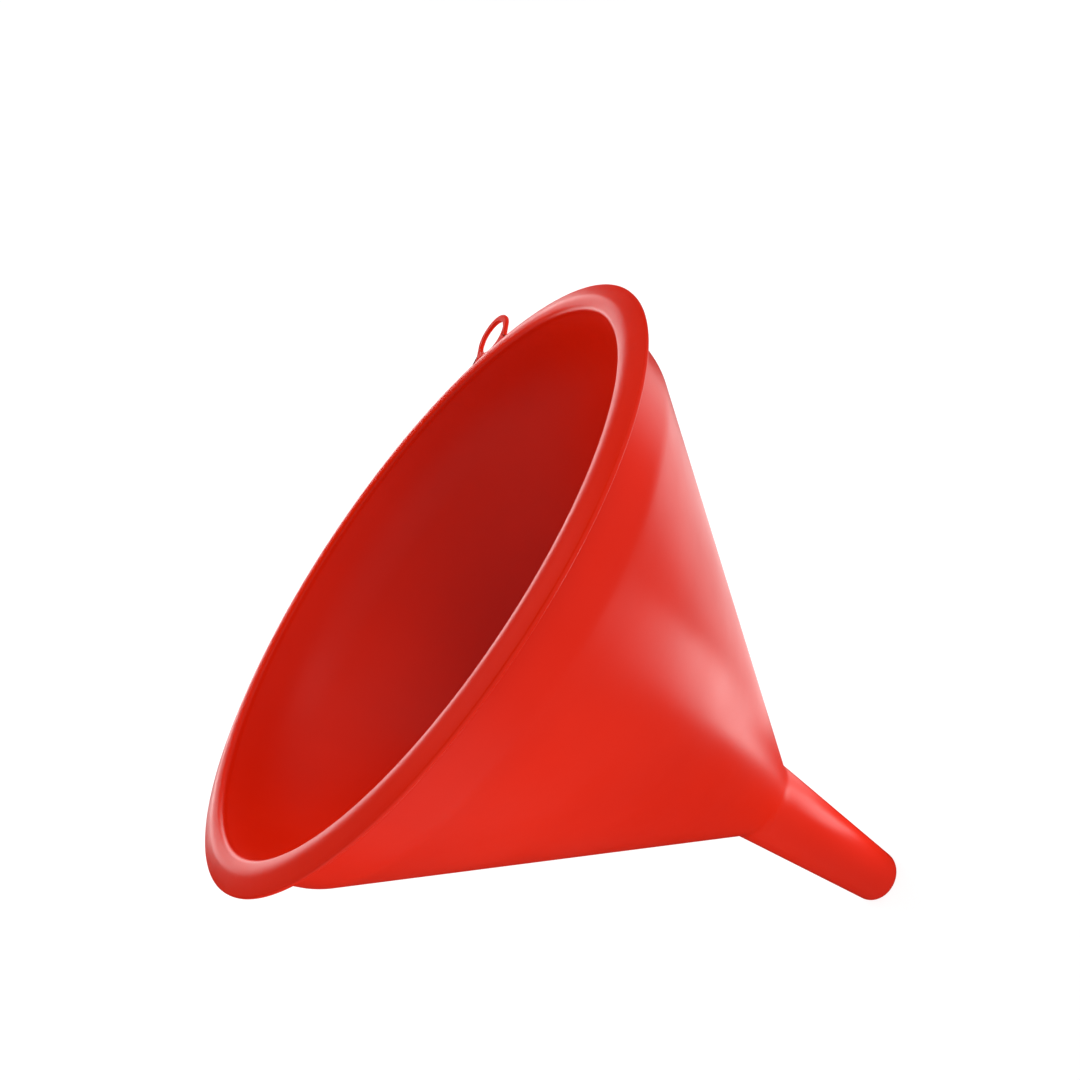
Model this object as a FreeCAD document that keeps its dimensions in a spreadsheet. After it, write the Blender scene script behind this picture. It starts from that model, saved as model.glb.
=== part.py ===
import FreeCAD, Part
import math
import os

import Sketcher

V = FreeCAD.Vector

# Funnel, mouth up and spout down.  The Z axis is the funnel's own axis and Z = 0 is
# the plane where the straight lines of the cone and of the spout would meet.
# Every size is in millimetres, every angle in degrees.
SIZES = [
    ("crest_height", 119.4),        # ridge of the rim before it is rounded, above Z = 0
    ("mouth_radius", 72.1),         # inside of the rim
    ("crest_radius", 75.2),         # ridge of the rim; the top falls away on both sides of it
    ("rim_radius", 79.8),           # outside of the rim
    ("lip_fall", 0.4),              # drop from the ridge to the inner edge
    ("rim_fall", 1.3),              # drop from the ridge to the outer edge
    ("rim_depth", 2.3),             # ridge to the underside
    ("lip_round", 1.3),
    ("crest_round", 6.0),
    ("edge_round", 0.45),
    ("collar_radius", 75.4),        # outside of the collar, right under the rim
    ("shoulder_radius", 72.3),      # outside of the corner between collar and cone
    ("shoulder_height", 104.7),
    ("shoulder_bore", 70.2),        # inside of the same corner
    ("shoulder_round", 12.0),
    ("shoulder_bore_round", 36.0),
    ("cone_top_radius", 68.41),
    ("cone_top_bore", 66.33),
    ("cone_top_height", 98.0),
    ("neck_top_radius", 15.34),
    ("neck_top_bore", 13.56),
    ("neck_top_height", 6.6),
    ("neck_radius", 11.5),          # outside, at Z = 0
    ("neck_bore", 9.75),            # inside, at Z = 0
    ("neck_round", 10.0),
    ("neck_bore_round", 30.0),
    ("neck_low_radius", 10.88),
    ("neck_low_bore", 9.0),
    ("neck_low_depth", 7.6),        # bottom of the neck, below Z = 0
    ("tip_radius", 7.25),
    ("tip_bore", 4.6),
    ("tip_depth", 52.3),            # end of the spout, below Z = 0
    ("tip_round", 2.1),
    ("tab_angle", 38.7),            # direction of the hanging tab, from +X towards +Y
    ("tab_lift", 8.0),              # the tab rises outwards by this angle
    ("tab_drop", 1.7),              # ridge to the top of the tab, at the rim's edge
    ("tab_thickness", 1.1),
    ("tab_root", 1.1),              # how far the plate runs in under the rim's edge
    ("tab_root_half", 10.0),
    ("tab_flare", 0.8),
    ("tab_half_width", 6.7),
    ("tab_reach", 6.8),             # rim's edge to the centre of the tab's round end
    ("tab_fillet", 3.0),
    ("hole_reach", 6.2),            # rim's edge to the centre of the hanging hole
    ("hole_radius", 5.1),
]

SIZE = dict(SIZES)


def make_sheet(doc):
    sheet = doc.addObject("Spreadsheet::Sheet", "Dims")
    for row, (alias, value) in enumerate(SIZES, start=1):
        sheet.set("A%d" % row, alias)
        sheet.set("B%d" % row, str(value))
        sheet.setAlias("B%d" % row, alias)
    doc.recompute()
    return sheet


def make_body(doc, name):
    body = doc.addObject("PartDesign::Body", name)
    body.Label = name
    return body


def add_sketch(doc, body, name, role):
    sketch = body.newObject("Sketcher::SketchObject", name)
    plane = [item for item in body.Origin.OriginFeatures if item.Role == role][0]
    sketch.AttachmentSupport = [(plane, "")]
    sketch.MapMode = "FlatFace"
    doc.recompute()
    return sketch


def pin_point(sketch, index, at, words):
    """Tie the start of one line to two sheet expressions."""
    for axis, value, text in (("X", at[0], words[0]), ("Y", at[1], words[1])):
        number = sketch.addConstraint(
            Sketcher.Constraint("Distance" + axis, -1, 1, index, 1, value))
        name = "p%d%s" % (index, axis.lower())
        sketch.renameConstraint(number, name)
        sketch.setExpression("Constraints." + name, text)


def value_of(text):
    """The number that a sheet expression such as 'Dims.a - Dims.b' has now."""
    total = 0.0
    sign = 1.0
    for word in text.split():
        if word in ("+", "-"):
            sign = 1.0 if word == "+" else -1.0
        else:
            total += sign * SIZE[word.replace("Dims.", "")]
    return total


def closed_section(sketch, corners):
    """A closed outline of straight lines; every corner is a pair of sheet expressions."""
    points = [(value_of(x), value_of(y)) for x, y in corners]
    count = len(points)
    for index in range(count):
        start = points[index]
        end = points[(index + 1) % count]
        sketch.addGeometry(Part.LineSegment(V(start[0], start[1], 0), V(end[0], end[1], 0)), False)
    for index in range(count):
        sketch.addConstraint(Sketcher.Constraint("Coincident", index, 2, (index + 1) % count, 1))
    for index in range(count):
        pin_point(sketch, index, points[index], corners[index])


def revolve(doc, body, sketch, name):
    turn = body.newObject("PartDesign::Revolution", name)
    turn.Profile = sketch
    turn.ReferenceAxis = (sketch, ["V_Axis"])
    turn.Angle = 360.0
    sketch.Visibility = False
    doc.recompute()
    return turn


def ring_edges(shape, radius, height):
    """Names of the circular edges round the Z axis with this radius and height."""
    names = []
    for number, edge in enumerate(shape.Edges, start=1):
        curve = edge.Curve
        if not isinstance(curve, Part.Circle):
            continue
        off_radius = abs(curve.Radius - radius)
        off_height = abs(curve.Center.z - height)
        if off_radius < 0.01 and off_height < 0.01:
            names.append("Edge%d" % number)
    return names


def round_ring(doc, body, name, radius_words, height_words, round_word):
    """Round one ring-shaped edge of the body, and check that the solid changed."""
    before = body.Tip
    volume = before.Shape.Volume
    names = ring_edges(before.Shape, value_of(radius_words), value_of(height_words))
    if not names:
        raise RuntimeError(name + ": edge not found")
    fillet = body.newObject("PartDesign::Fillet", name)
    fillet.Base = (before, names)
    fillet.Radius = SIZE[round_word]
    fillet.setExpression("Radius", "Dims." + round_word)
    doc.recompute()
    body.Tip = fillet
    doc.recompute()
    if abs(fillet.Shape.Volume - volume) < 0.01:
        raise RuntimeError(name + ": rounding changed nothing")


def ring_body(doc, name, corners):
    """A body revolved round Z from a closed section of (radius, height) corners."""
    body = make_body(doc, name)
    sketch = add_sketch(doc, body, name + "_section", "XZ_Plane")
    closed_section(sketch, corners)
    revolve(doc, body, sketch, name + "_turn")
    return body


def make_rim(doc):
    crest = "Dims.crest_height"
    lip = "Dims.crest_height - Dims.lip_fall"
    edge = "Dims.crest_height - Dims.rim_fall"
    under = "Dims.crest_height - Dims.rim_depth"
    body = ring_body(doc, "rim_flange", [
        ("Dims.mouth_radius", under),
        ("Dims.rim_radius", under),
        ("Dims.rim_radius", edge),
        ("Dims.crest_radius", crest),
        ("Dims.mouth_radius", lip),
    ])
    round_ring(doc, body, "rim_crest_round", "Dims.crest_radius", crest, "crest_round")
    round_ring(doc, body, "rim_lip_round", "Dims.mouth_radius", lip, "lip_round")
    round_ring(doc, body, "rim_upper_edge", "Dims.rim_radius", edge, "edge_round")
    round_ring(doc, body, "rim_lower_edge", "Dims.rim_radius", under, "edge_round")
    return body


def make_collar(doc):
    under = "Dims.crest_height - Dims.rim_depth"
    body = ring_body(doc, "collar", [
        ("Dims.cone_top_bore", "Dims.cone_top_height"),
        ("Dims.cone_top_radius", "Dims.cone_top_height"),
        ("Dims.shoulder_radius", "Dims.shoulder_height"),
        ("Dims.collar_radius", under),
        ("Dims.mouth_radius", under),
        ("Dims.shoulder_bore", "Dims.shoulder_height"),
    ])
    round_ring(doc, body, "collar_shoulder", "Dims.shoulder_radius", "Dims.shoulder_height",
               "shoulder_round")
    round_ring(doc, body, "collar_inner_shoulder", "Dims.shoulder_bore", "Dims.shoulder_height",
               "shoulder_bore_round")
    return body


def make_bowl(doc):
    return ring_body(doc, "bowl_cone", [
        ("Dims.neck_top_bore", "Dims.neck_top_height"),
        ("Dims.neck_top_radius", "Dims.neck_top_height"),
        ("Dims.cone_top_radius", "Dims.cone_top_height"),
        ("Dims.cone_top_bore", "Dims.cone_top_height"),
    ])


def make_neck(doc):
    middle = "Dims.neck_low_depth - Dims.neck_low_depth"
    low = middle + " - Dims.neck_low_depth"
    body = ring_body(doc, "neck", [
        ("Dims.neck_low_bore", low),
        ("Dims.neck_low_radius", low),
        ("Dims.neck_radius", middle),
        ("Dims.neck_top_radius", "Dims.neck_top_height"),
        ("Dims.neck_top_bore", "Dims.neck_top_height"),
        ("Dims.neck_bore", middle),
    ])
    round_ring(doc, body, "neck_outer_round", "Dims.neck_radius", middle, "neck_round")
    round_ring(doc, body, "neck_inner_round", "Dims.neck_bore", middle, "neck_bore_round")
    return body


def make_spout(doc):
    zero = "Dims.tip_depth - Dims.tip_depth"
    low = zero + " - Dims.neck_low_depth"
    tip = zero + " - Dims.tip_depth"
    body = ring_body(doc, "spout", [
        ("Dims.tip_bore", tip),
        ("Dims.tip_radius", tip),
        ("Dims.neck_low_radius", low),
        ("Dims.neck_low_bore", low),
    ])
    round_ring(doc, body, "spout_tip_round", "Dims.tip_radius", tip, "tip_round")
    return body


def tab_outline(sketch):
    """Half-round ear with a flared root; X runs outwards from the rim's edge."""
    root = -SIZE["tab_root"]
    half = SIZE["tab_half_width"]
    wide = SIZE["tab_root_half"]
    flare = SIZE["tab_flare"]
    reach = SIZE["tab_reach"]
    corners = [(reach, half), (flare, half), (root, wide), (root, -wide), (flare, -half), (reach, -half)]
    for start, end in zip(corners[:-1], corners[1:]):
        sketch.addGeometry(Part.LineSegment(V(start[0], start[1], 0), V(end[0], end[1], 0)), False)
    circle = Part.Circle(V(reach, 0, 0), V(0, 0, 1), half)
    sketch.addGeometry(Part.ArcOfCircle(circle, -math.pi / 2.0, math.pi / 2.0), False)
    for index in range(4):
        sketch.addConstraint(Sketcher.Constraint("Coincident", index, 2, index + 1, 1))
    sketch.addConstraint(Sketcher.Constraint("Coincident", 4, 2, 5, 1))
    sketch.addConstraint(Sketcher.Constraint("Coincident", 5, 2, 0, 1))
    words = [
        ("Dims.tab_reach", "Dims.tab_half_width"),
        ("Dims.tab_flare", "Dims.tab_half_width"),
        ("-Dims.tab_root", "Dims.tab_root_half"),
        ("-Dims.tab_root", "-Dims.tab_root_half"),
        ("Dims.tab_flare", "-Dims.tab_half_width"),
    ]
    for index in range(5):
        pin_point(sketch, index, corners[index], words[index])
    for axis, value, text in (("X", reach, "Dims.tab_reach"), ("Y", 0.0, "Dims.tab_reach - Dims.tab_reach")):
        number = sketch.addConstraint(Sketcher.Constraint("Distance" + axis, -1, 1, 5, 3, value))
        sketch.renameConstraint(number, "end" + axis.lower())
        sketch.setExpression("Constraints.end" + axis.lower(), text)


def flare_edges(shape):
    """Names of the two upright edges at the flare, where the root meets the straight sides."""
    names = []
    for number, edge in enumerate(shape.Edges, start=1):
        first = edge.Vertexes[0].Point
        last = edge.Vertexes[-1].Point
        upright = abs(first.x - last.x) < 0.001 and abs(first.y - last.y) < 0.001
        at_flare = abs(first.x - SIZE["tab_flare"]) < 0.01
        if upright and at_flare:
            names.append("Edge%d" % number)
    return names


def make_tab_plate(doc):
    body = make_body(doc, "TabPlate")
    outline = add_sketch(doc, body, "tab_outline", "XY_Plane")
    tab_outline(outline)
    pad = body.newObject("PartDesign::Pad", "tab_pad")
    pad.Profile = outline
    pad.setExpression("Length", "Dims.tab_thickness")
    pad.Reversed = True
    outline.Visibility = False
    doc.recompute()

    circle = add_sketch(doc, body, "tab_hole_circle", "XY_Plane")
    circle.addGeometry(Part.Circle(V(SIZE["hole_reach"], 0, 0), V(0, 0, 1), SIZE["hole_radius"]), False)
    across = circle.addConstraint(Sketcher.Constraint("Radius", 0, SIZE["hole_radius"]))
    circle.renameConstraint(across, "hole")
    circle.setExpression("Constraints.hole", "Dims.hole_radius")
    out = circle.addConstraint(Sketcher.Constraint("DistanceX", -1, 1, 0, 3, SIZE["hole_reach"]))
    circle.renameConstraint(out, "out")
    circle.setExpression("Constraints.out", "Dims.hole_reach")
    circle.addConstraint(Sketcher.Constraint("PointOnObject", 0, 3, -1))
    volume = pad.Shape.Volume
    pocket = body.newObject("PartDesign::Pocket", "tab_hole")
    pocket.Profile = circle
    pocket.Type = 1
    circle.Visibility = False
    doc.recompute()
    expected = math.pi * SIZE["hole_radius"] ** 2 * SIZE["tab_thickness"]
    if abs(volume - pocket.Shape.Volume - expected) > 0.5:
        raise RuntimeError("the hanging hole was not cut")

    fillet = body.newObject("PartDesign::Fillet", "tab_root_fillet")
    fillet.Base = (pocket, flare_edges(pocket.Shape))
    fillet.Radius = SIZE["tab_fillet"]
    fillet.setExpression("Radius", "Dims.tab_fillet")
    doc.recompute()
    body.Tip = fillet
    doc.recompute()
    return body


def make_tab(doc, rim):
    plate = make_tab_plate(doc)
    turn = FreeCAD.Rotation(V(0, 0, 1), SIZE["tab_angle"])
    lift = FreeCAD.Rotation(V(0, 1, 0), -SIZE["tab_lift"])
    plate.Placement = FreeCAD.Placement(V(0, 0, 0), turn.multiply(lift))
    plate.setExpression("Placement.Base.x", "Dims.rim_radius * cos(Dims.tab_angle * 1 deg)")
    plate.setExpression("Placement.Base.y", "Dims.rim_radius * sin(Dims.tab_angle * 1 deg)")
    plate.setExpression("Placement.Base.z", "Dims.crest_height - Dims.tab_drop")
    tab = doc.addObject("Part::Cut", "hang_tab")
    tab.Base = plate
    tab.Tool = rim
    tab.Label = "hang_tab"
    doc.recompute()
    if len(tab.Shape.Solids) != 1:
        raise RuntimeError("the tab came out in %d solids" % len(tab.Shape.Solids))
    return tab


def check_document(doc):
    for item in doc.Objects:
        for flag in ("Invalid", "Error"):
            if flag in item.State:
                raise RuntimeError("%s is %s" % (item.Name, flag))


def export_parts(pieces):
    os.makedirs("parts", exist_ok=True)
    for piece in pieces:
        shape = piece.Shape
        if shape.isNull() or not shape.isValid() or shape.Volume <= 0.0:
            raise RuntimeError(piece.Label + ": bad shape")
        shape.exportStep("parts/%s.step" % piece.Label)
        box = shape.BoundBox
        print("%-12s %9.1f mm3  z %8.2f to %8.2f" % (piece.Label, shape.Volume, box.ZMin, box.ZMax))


def main():
    doc = FreeCAD.newDocument("Funnel")
    make_sheet(doc)
    rim = make_rim(doc)
    pieces = [rim, make_collar(doc), make_bowl(doc), make_neck(doc), make_spout(doc)]
    pieces.append(make_tab(doc, rim))
    doc.recompute()
    check_document(doc)
    export_parts(pieces)


main()
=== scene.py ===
import math

import bmesh
import bpy
from mathutils import Matrix, Vector


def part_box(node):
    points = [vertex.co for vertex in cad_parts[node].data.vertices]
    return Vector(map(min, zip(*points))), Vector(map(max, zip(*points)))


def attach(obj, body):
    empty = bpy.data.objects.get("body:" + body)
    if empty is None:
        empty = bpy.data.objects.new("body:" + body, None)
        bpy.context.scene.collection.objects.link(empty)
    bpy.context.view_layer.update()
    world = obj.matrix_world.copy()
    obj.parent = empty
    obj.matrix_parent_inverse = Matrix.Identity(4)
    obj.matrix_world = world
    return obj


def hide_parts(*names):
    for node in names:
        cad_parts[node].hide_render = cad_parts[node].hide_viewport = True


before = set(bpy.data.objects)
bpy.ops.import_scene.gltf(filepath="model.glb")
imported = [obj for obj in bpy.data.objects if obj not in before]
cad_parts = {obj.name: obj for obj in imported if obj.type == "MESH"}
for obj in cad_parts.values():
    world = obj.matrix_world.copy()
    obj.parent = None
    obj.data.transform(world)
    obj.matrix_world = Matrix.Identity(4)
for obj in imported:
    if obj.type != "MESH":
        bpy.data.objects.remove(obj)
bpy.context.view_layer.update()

MM = 0.001

# ---------------------------------------------------------------- sizes, from the CAD frame
rim_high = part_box("rim_flange")[1]
collar_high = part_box("collar")[1]
cone_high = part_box("bowl_cone")[1]
neck_low, neck_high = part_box("neck")
spout_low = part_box("spout")[0]

FLANGE_DEPTH = 2.3 * MM
UNDER = collar_high.z
CREST = UNDER + FLANGE_DEPTH
RIM_R = rim_high.x
COLLAR_R = collar_high.x
CONE_TOP = cone_high.z
NECK_TOP = neck_high.z
NECK_LOW = neck_low.z
TIP = spout_low.z

# How finely the skins are drawn
AROUND = 256
LONGEST_SIDE = 2.5 * MM
ARC_STEP = 5.0
TINY = 1e-6

# The wall at the shoulder, where the cone meets the collar
SHOULDER_HEIGHT = 104.7 * MM
COLLAR_ROUND = 0.7 * MM
MOUTH_R = 72.1 * MM
EDGE_ROUND = 0.45 * MM

# Corners of the moulding's section: radius, height, rounding.
# Up the inside from the tip, over the lip, and down the outside.
SECTION = [
    (4.6 * MM, TIP, 0.4 * MM),
    (9.75 * MM, 0.0, 30.0 * MM),
    (70.2 * MM, SHOULDER_HEIGHT, 36.0 * MM),
    (MOUTH_R, UNDER, 3.0 * MM),
    (MOUTH_R, CREST - 0.4 * MM, 1.3 * MM),
    (75.2 * MM, CREST, 6.0 * MM),
    (RIM_R, CREST - 1.3 * MM, EDGE_ROUND),
    (RIM_R, UNDER, EDGE_ROUND),
    (COLLAR_R, UNDER, COLLAR_ROUND),
    (72.3 * MM, SHOULDER_HEIGHT, 12.0 * MM),
    (11.5 * MM, 0.0, 10.0 * MM),
    (7.25 * MM, TIP, 2.1 * MM),
]


# ---------------------------------------------------------------- section of the moulding
def spun(v, angle):
    """A flat vector turned anticlockwise by an angle."""
    c = math.cos(angle)
    s = math.sin(angle)
    return Vector((v.x * c - v.y * s, v.x * s + v.y * c))


def rounded(corners):
    """A closed outline with each corner rounded: corners are (radius, height, rounding), in metres."""
    path = []
    count = len(corners)
    for i, (x, y, r) in enumerate(corners):
        here = Vector((x, y))
        back = (Vector(corners[i - 1][:2]) - here).normalized()
        ahead = (Vector(corners[(i + 1) % count][:2]) - here).normalized()
        turn = math.pi - back.angle(ahead)
        centre = here + (back + ahead).normalized() * (r / math.cos(turn / 2.0))
        first = here + back * (r * math.tan(turn / 2.0)) - centre
        last = here + ahead * (r * math.tan(turn / 2.0)) - centre
        side = 1.0 if first.x * last.y - first.y * last.x > 0.0 else -1.0
        steps = max(4, int(math.degrees(turn) / ARC_STEP) + 2)
        path += [centre + spun(first, side * turn * k / steps) for k in range(steps + 1)]
    return path


def divided(path, longest, cuts):
    """The same closed outline, with a point wherever it passes a cut height and no side over this length."""
    out = []
    for i, p in enumerate(path):
        q = path[(i + 1) % len(path)]
        stops = [0.0, 1.0]
        for h in cuts:
            if min(p.y, q.y) + 0.1 * TINY < h < max(p.y, q.y) - 0.1 * TINY:
                stops.append((h - p.y) / (q.y - p.y))
        stops.sort()
        for a, b in zip(stops[:-1], stops[1:]):
            n = max(1, int(math.ceil((q - p).length * (b - a) / longest)))
            out += [p.lerp(q, a + (b - a) * k / n) for k in range(n)]
    return out


def outward(path):
    """The direction square to the outline at each of its points, away from the plastic."""
    normals = []
    for i, p in enumerate(path):
        before = p - path[i - 1]
        after = path[(i + 1) % len(path)] - p
        along = before.normalized() * after.length + after.normalized() * before.length
        along.normalize()
        normals.append(Vector((-along.y, along.x)))
    return normals


outline = divided(rounded(SECTION), LONGEST_SIDE, [NECK_LOW, NECK_TOP, CONE_TOP, UNDER])
facing = outward(outline)
lip = max(range(len(outline)), key=lambda i: outline[i].y)


def run(low, high, inner):
    """Indices of the outline between two heights, on its inner or its outer side."""
    half = range(0, lip + 1) if inner else range(lip, len(outline))
    return [i for i in half if low - TINY <= outline[i].y <= high + TINY]


# ---------------------------------------------------------------- meshes
def smooth_piece(name, points, shading, faces):
    """An object with this mesh, shaded with one exact normal at each point."""
    mesh = bpy.data.meshes.new(name)
    mesh.from_pydata(points, [], faces)
    mesh.update()
    mesh.polygons.foreach_set("use_smooth", [True] * len(mesh.polygons))
    mesh.normals_split_custom_set_from_vertices(shading)
    piece = bpy.data.objects.new(name, mesh)
    bpy.context.scene.collection.objects.link(piece)
    return piece


def turned(name, strips):
    """A piece turned round Z from strips of the outline."""
    points = []
    shading = []
    faces = []
    for strip in strips:
        start = len(points)
        for i in strip:
            p = outline[i]
            n = facing[i]
            for k in range(AROUND):
                a = 2.0 * math.pi * k / AROUND
                points.append((p.x * math.cos(a), p.x * math.sin(a), p.y))
                shading.append((n.x * math.cos(a), n.x * math.sin(a), n.y))
        for row in range(len(strip) - 1):
            low = start + row * AROUND
            high = low + AROUND
            for k in range(AROUND):
                m = (k + 1) % AROUND
                faces.append((low + k, high + k, high + m, low + m))
    return smooth_piece(name, points, shading, faces)


def shell(name, low, high):
    """Inner and outer skin of the wall between two heights."""
    return turned(name, [run(low, high, True), run(low, high, False)])


def make_collar():
    """The collar's two skins; the outer one stops short of the flange's underside."""
    widest = COLLAR_R + COLLAR_ROUND + TINY
    outer = [i for i in run(CONE_TOP, UNDER, False) if outline[i].x < widest]
    return turned("collar_skin", [run(CONE_TOP, UNDER, True), outer])


rim = turned("rim_skin", [run(UNDER, CREST, True) + run(UNDER, CREST, False)[1:]])
collar = make_collar()
cone = shell("cone_skin", NECK_TOP, CONE_TOP)
neck = shell("neck_skin", NECK_LOW, NECK_TOP)
spout = turned("spout_skin", [run(TIP, NECK_LOW, False) + run(TIP, NECK_LOW, True)])

# ---------------------------------------------------------------- the hanging tab
TAB_ANGLE = math.radians(38.7)
TAB_LIFT = math.radians(8.0)
TAB_DROP = 1.7 * MM
TAB_HALF_THICK = 0.55 * MM
TAB_EDGE = 0.32 * MM
TAB_HALF_WIDTH = 6.7 * MM
TAB_REACH = 6.8 * MM
TAB_FLARE = 0.8 * MM
TAB_FILLET = 3.0 * MM
TAB_ROOT = 1.1 * MM
TAB_ROOT_HALF = 10.0 * MM
HOLE_REACH = 6.2 * MM
HOLE_R = 5.1 * MM
END_STEPS = 40
FILLET_STEPS = 12
ROOT_STEPS = 10
EDGE_STEPS = 12


def tab_plan():
    """The tab's outline seen from above, anticlockwise; X runs outwards from the rim's edge."""
    flare = Vector((TAB_FLARE, TAB_HALF_WIDTH))
    root = Vector((-TAB_ROOT, TAB_ROOT_HALF))
    back = (root - flare).normalized()
    ahead = Vector((1.0, 0.0))
    turn = math.pi - back.angle(ahead)
    centre = flare + (back + ahead).normalized() * (TAB_FILLET / math.cos(turn / 2.0))
    first = flare + ahead * (TAB_FILLET * math.tan(turn / 2.0)) - centre
    half = []
    for k in range(END_STEPS + 1):
        a = math.pi / 2.0 * k / END_STEPS
        half.append(Vector((TAB_REACH + TAB_HALF_WIDTH * math.cos(a), TAB_HALF_WIDTH * math.sin(a))))
    half += [centre + spun(first, -turn * k / FILLET_STEPS) for k in range(FILLET_STEPS + 1)]
    half += [Vector((root.x, root.y * (1.0 - k / ROOT_STEPS))) for k in range(ROOT_STEPS + 1)]
    return half + [Vector((p.x, -p.y)) for p in reversed(half[1:-1])]


def edge_ring(edge, away, angles, points, shading):
    """Points and normals over one rounded edge, which faces the flat direction away from the plastic."""
    flat = TAB_HALF_THICK - TAB_EDGE
    for t in angles:
        q = edge + away * (TAB_EDGE * (math.cos(t) - 1.0))
        z = math.copysign(flat, t) + TAB_EDGE * math.sin(t) if abs(t) > TINY else 0.0
        points.append((q.x, q.y, z - TAB_HALF_THICK))
        shading.append((away.x * math.cos(t), away.y * math.cos(t), math.sin(t)))


def make_tab():
    """A flat ring with rounded edges: each loop goes over the outer edge and back through the hole."""
    plan = tab_plan()
    count = len(plan)
    lengths = [0.0]
    for i in range(count):
        lengths.append(lengths[-1] + (plan[(i + 1) % count] - plan[i]).length)
    points = []
    shading = []
    angles = [math.pi * k / EDGE_STEPS - math.pi / 2.0 for k in range(EDGE_STEPS + 1)]
    for i, p in enumerate(plan):
        along = (plan[(i + 1) % count] - plan[i - 1]).normalized()
        edge_ring(p, Vector((along.y, -along.x)), angles, points, shading)
        a = 2.0 * math.pi * lengths[i] / lengths[-1]
        ray = Vector((math.cos(a), math.sin(a)))
        hole_edge = Vector((HOLE_REACH, 0.0)) + ray * HOLE_R
        edge_ring(hole_edge, -ray, reversed(angles), points, shading)
    around = 2 * len(angles)
    faces = []
    for i in range(count):
        j = (i + 1) % count
        for k in range(around):
            m = (k + 1) % around
            faces.append((i * around + k, j * around + k, j * around + m, i * around + m))
    foot = Vector((RIM_R * math.cos(TAB_ANGLE), RIM_R * math.sin(TAB_ANGLE), CREST - TAB_DROP))
    place = (Matrix.Translation(foot) @ Matrix.Rotation(TAB_ANGLE, 4, "Z")
             @ Matrix.Rotation(-TAB_LIFT, 4, "Y"))
    turn = place.to_3x3()
    return smooth_piece("tab_skin", [place @ Vector(p) for p in points],
                        [turn @ Vector(n) for n in shading], faces)


tab = make_tab()


# ---------------------------------------------------------------- the red plastic
def noise(tree, where, scale, detail):
    """A noise pattern fixed to the object."""
    node = tree.nodes.new("ShaderNodeTexNoise")
    node.inputs["Scale"].default_value = scale
    node.inputs["Detail"].default_value = detail
    tree.links.new(where.outputs["Object"], node.inputs["Vector"])
    return node


def bump(tree, pattern, depth):
    """A bump of this depth, in metres, from a pattern."""
    node = tree.nodes.new("ShaderNodeBump")
    node.inputs["Strength"].default_value = 1.0
    node.inputs["Distance"].default_value = depth
    tree.links.new(pattern.outputs["Fac"], node.inputs["Height"])
    return node


def red_plastic():
    """Red gloss plastic: a slight drift of colour and gloss, a slow mould waviness and a fine grain."""
    mat = bpy.data.materials.new("red_plastic_moulded")
    mat.use_nodes = True
    tree = mat.node_tree
    shader = tree.nodes["Principled BSDF"]
    shader.inputs["IOR"].default_value = 1.46
    shader.inputs["Specular IOR Level"].default_value = 0.2
    where = tree.nodes.new("ShaderNodeTexCoord")

    cloud = noise(tree, where, 22.0, 3.0)
    tint = tree.nodes.new("ShaderNodeValToRGB")
    deep, light = tint.color_ramp.elements
    deep.position = 0.35
    deep.color = (0.61, 0.0105, 0.0004, 1.0)
    light.position = 0.65
    light.color = (0.65, 0.0125, 0.0008, 1.0)
    tree.links.new(cloud.outputs["Fac"], tint.inputs["Fac"])
    tree.links.new(tint.outputs["Color"], shader.inputs["Base Color"])

    smear = noise(tree, where, 60.0, 5.0)
    gloss = tree.nodes.new("ShaderNodeMapRange")
    gloss.inputs["From Min"].default_value = 0.3
    gloss.inputs["From Max"].default_value = 0.7
    gloss.inputs["To Min"].default_value = 0.30
    gloss.inputs["To Max"].default_value = 0.35
    tree.links.new(smear.outputs["Fac"], gloss.inputs["Value"])
    tree.links.new(gloss.outputs["Result"], shader.inputs["Roughness"])

    waves = bump(tree, noise(tree, where, 110.0, 1.0), 0.04 * MM)
    grain = bump(tree, noise(tree, where, 650.0, 1.0), 0.005 * MM)
    tree.links.new(waves.outputs["Normal"], grain.inputs["Normal"])
    tree.links.new(grain.outputs["Normal"], shader.inputs["Normal"])
    return mat


plastic = red_plastic()
skins = [
    (rim, "rim_flange"),
    (collar, "collar"),
    (cone, "bowl_cone"),
    (neck, "neck"),
    (spout, "spout"),
    (tab, "hang_tab"),
]
for piece, node in skins:
    piece.data.materials.append(plastic)
    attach(piece, "root")
    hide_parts(node)

# ---------------------------------------------------------------- floor
FLOOR_FLAT = 1.6
FLOOR_CURVE = 1.2
WALL_TOP = 3.2
FLOOR_AROUND = 96
CURVE_STEPS = 24


def studio_white():
    """Matt white that gives its own even light, so that no shadow shows on it."""
    mat = bpy.data.materials.new("studio_white")
    mat.use_nodes = True
    shader = mat.node_tree.nodes["Principled BSDF"]
    shader.inputs["Base Color"].default_value = (0.2, 0.2, 0.2, 1.0)
    shader.inputs["Roughness"].default_value = 0.9
    shader.inputs["Specular IOR Level"].default_value = 0.0
    shader.inputs["Emission Color"].default_value = (1.0, 1.0, 1.0, 1.0)
    shader.inputs["Emission Strength"].default_value = 0.88
    return mat


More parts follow.
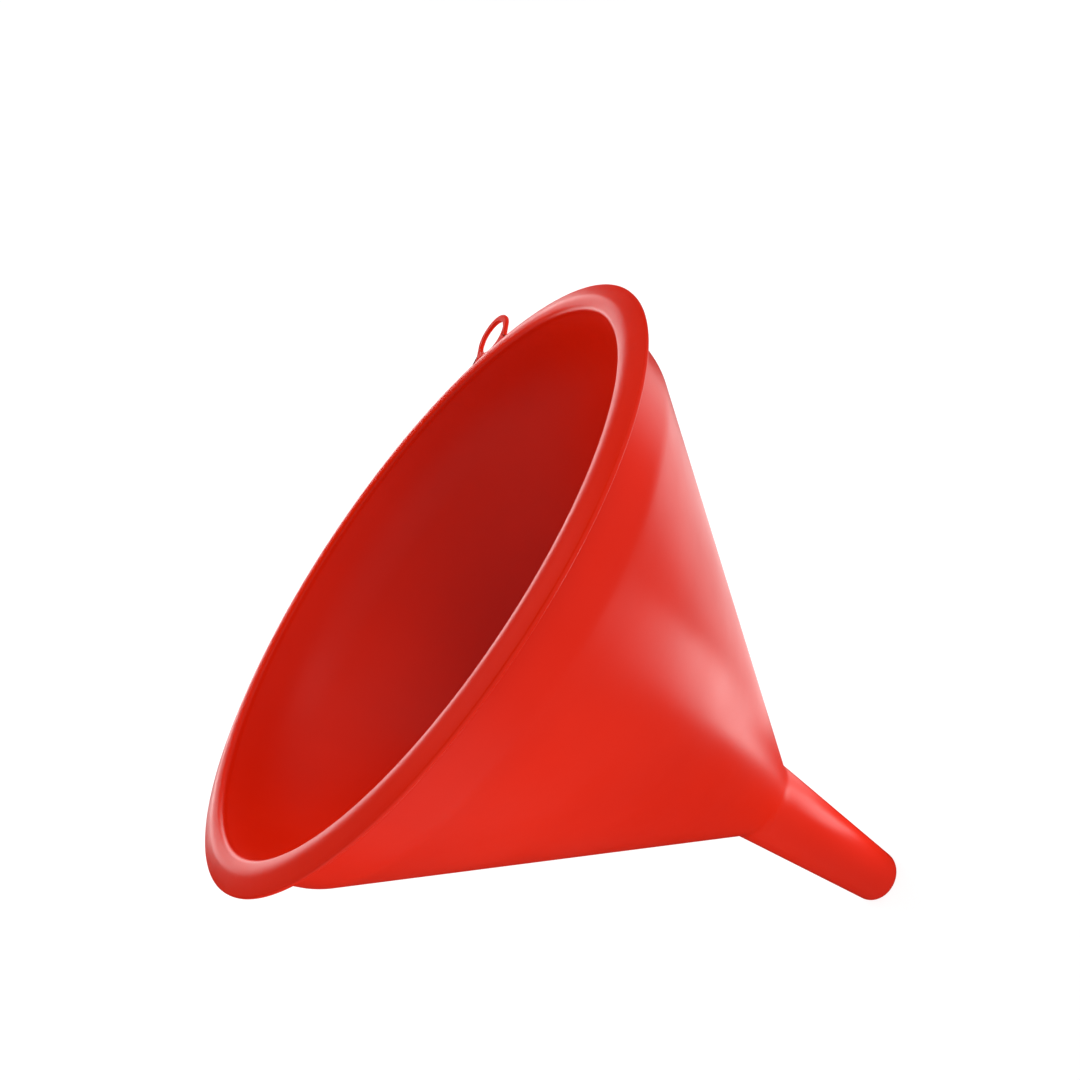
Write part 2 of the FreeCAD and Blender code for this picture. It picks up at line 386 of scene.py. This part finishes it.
def make_floor():
    """A wide floor that turns up into a round wall, so that no horizon shows from any side."""
    profile = [(FLOOR_FLAT, 0.0)]
    for k in range(1, CURVE_STEPS + 1):
        a = math.pi / 2.0 * k / CURVE_STEPS
        profile.append((FLOOR_FLAT + FLOOR_CURVE * math.sin(a), FLOOR_CURVE - FLOOR_CURVE * math.cos(a)))
    profile.append((FLOOR_FLAT + FLOOR_CURVE, WALL_TOP))
    bm = bmesh.new()
    centre = bm.verts.new((0.0, 0.0, TIP))
    rings = []
    for r, z in profile:
        ring = []
        for k in range(FLOOR_AROUND):
            a = 2.0 * math.pi * k / FLOOR_AROUND
            ring.append(bm.verts.new((r * math.cos(a), r * math.sin(a), TIP + z)))
        rings.append(ring)
    for k in range(FLOOR_AROUND):
        m = (k + 1) % FLOOR_AROUND
        bm.faces.new((centre, rings[0][k], rings[0][m]))
        for low, high in zip(rings[:-1], rings[1:]):
            bm.faces.new((low[k], high[k], high[m], low[m]))
    for face in bm.faces:
        face.smooth = True
    mesh = bpy.data.meshes.new("studio_floor")
    bm.to_mesh(mesh)
    bm.free()
    mesh.materials.append(studio_white())
    floor = bpy.data.objects.new("studio_floor", mesh)
    bpy.context.scene.collection.objects.link(floor)
    floor.visible_glossy = False
    return floor


make_floor()

# ---------------------------------------------------------------- camera
# It stands on the -Y side, a little above the mouth, and is rolled so that the funnel lies
# across the picture with its spout down to the right.
EYE = Vector((0.0, -241.6 * MM, 189.2 * MM))
AIM = Vector((22.88 * MM, 0.0, 93.42 * MM))
ROLL = math.radians(54.51)

lens = bpy.data.cameras.new("camera")
lens.lens = 36.0
lens.sensor_width = 36.0
lens.clip_start = 0.01
lens.clip_end = 50.0
camera = bpy.data.objects.new("camera", lens)
bpy.context.scene.collection.objects.link(camera)
level_view = (AIM - EYE).to_track_quat("-Z", "Y").to_matrix().to_4x4()
camera.matrix_world = Matrix.Translation(EYE) @ level_view @ Matrix.Rotation(-ROLL, 4, "Z")
bpy.context.scene.camera = camera


# ---------------------------------------------------------------- lights
def softbox(name, place, aim, width, height, radiance, mirrored=True):
    """A soft rectangular light that the camera doesn't see; one that isn't mirrored adds no gloss."""
    data = bpy.data.lights.new(name, "AREA")
    data.shape = "RECTANGLE"
    data.size = width
    data.size_y = height
    data.energy = radiance * math.pi * width * height
    light = bpy.data.objects.new(name, data)
    bpy.context.scene.collection.objects.link(light)
    light.location = place
    light.rotation_euler = (Vector(aim) - Vector(place)).to_track_quat("-Z", "Y").to_euler()
    light.visible_camera = False
    light.visible_glossy = mirrored


def floor_panel(name, x, y, width, height, radiance, mirrored=True):
    """A softbox that lies just over the floor and shines straight up."""
    softbox(name, (x, y, TIP + 2.0 * MM), (x, y, 1.0), width, height, radiance, mirrored)


floor_panel("low_panel", 0.19, 0.095, 0.30, 0.20, 1.5)
floor_panel("tip_panel", 0.045, -0.018, 0.04, 0.03, 5.0)
softbox("back_strip", (0.0, 0.9, 0.26), (0.0, 0.0, 0.12), 0.9, 0.20, 3.8)
softbox("left_strip", (-0.69, -0.12, 0.02), (0.0, 0.0, 0.02), 0.28, 0.14, 1.2)
floor_panel("left_panel", -0.25, -0.12, 0.3, 0.3, 1.5, False)
softbox("right_high", (0.80, -0.33, 0.42), (0.0, 0.0, 0.1), 0.5, 0.3, 4.5, False)
softbox("back_high", (0.0, 0.5, 0.98), (0.0, 0.0, 0.1), 0.6, 0.4, 7.0, False)

world = bpy.data.worlds.new("studio_air")
bpy.context.scene.world = world
world.use_nodes = True
air = world.node_tree.nodes["Background"]
air.inputs["Color"].default_value = (1.0, 1.0, 1.0, 1.0)
air.inputs["Strength"].default_value = 0.01
bpy.context.scene.view_settings.view_transform = "Standard"
